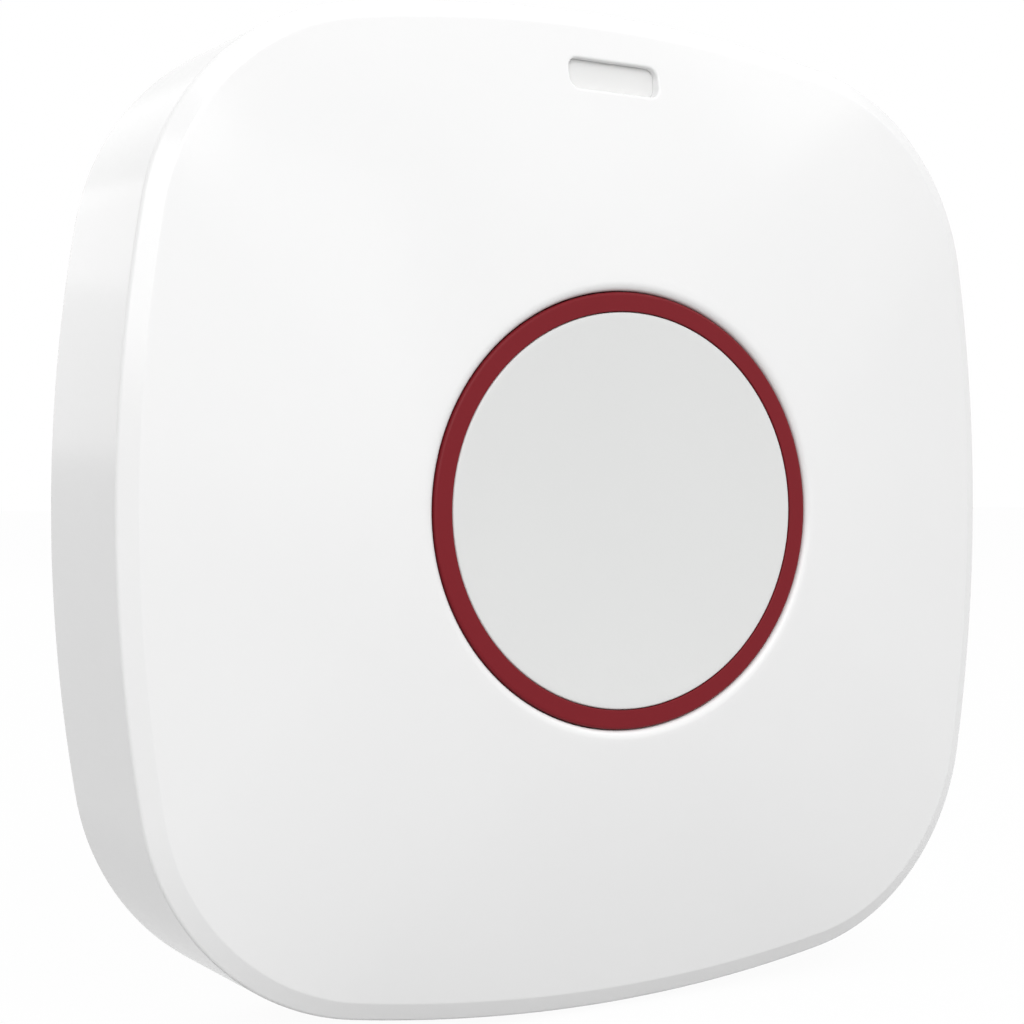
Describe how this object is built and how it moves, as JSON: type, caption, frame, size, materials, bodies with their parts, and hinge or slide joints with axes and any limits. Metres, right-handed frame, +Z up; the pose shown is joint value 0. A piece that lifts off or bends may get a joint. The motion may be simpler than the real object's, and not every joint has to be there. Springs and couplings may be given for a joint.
{
  "type": "wireless panic button",
  "caption": "Rounded square alarm button with a domed face, a large round push button in a red ring, an indicator slot and a rear panel that fixes to a wall.",
  "frame": {"origin": "centre of the flat rear face", "axes": "front of the button looks along -Y, the wall behind it is towards +Y, +Z is up, +X is to the right as seen from the front"},
  "size_m": [0.0636, 0.0153, 0.0636],
  "materials": {
    "shell_white": "satin",
    "panel_white": "matte",
    "ring_red": "satin",
    "cap_grey": "satin",
    "guide_clear": "satin",
    "board_green": "satin",
    "inner_black": "matte",
    "inner_white": "satin",
    "steel": "satin",
    "spring_steel": "satin",
    "gold_plate": "satin",
    "tinned": "satin",
    "ceramic_tan": "satin"
  },
  "bodies": {
    "housing": {"front_shell": "shell_white", "rear_panel": "panel_white", "light_guide": "guide_clear", "circuit_board": "board_green", "board_screws": "steel", "lock_screw": "steel", "return_spring": "spring_steel", "switch_body": "inner_black", "coin_cell": "steel", "battery_holder": "inner_black", "positive_contact": "gold_plate", "negative_contact": "gold_plate", "radio_shield": "tinned", "radio_chip": "inner_black", "antenna": "tinned", "controller_chip": "inner_black", "crystal": "tinned", "status_led": "inner_white", "capacitors": "ceramic_tan", "tamper_switch": "inner_black", "tamper_plunger": "inner_white", "pairing_switch": "inner_black", "pairing_plunger": "inner_white"},
    "button": {"button_ring": "ring_red", "button_cap": "cap_grey", "switch_plunger": "inner_white"}
  },
  "joints": [
    {"name": "button_press", "type": "slide", "parent": "housing", "child": "button", "axis": [0, 1, 0], "range_m": [0, 0.0008], "stiffness_N_per_m": 1500, "springref_m": -0.002, "deforming": ["return_spring"]}
  ]
}
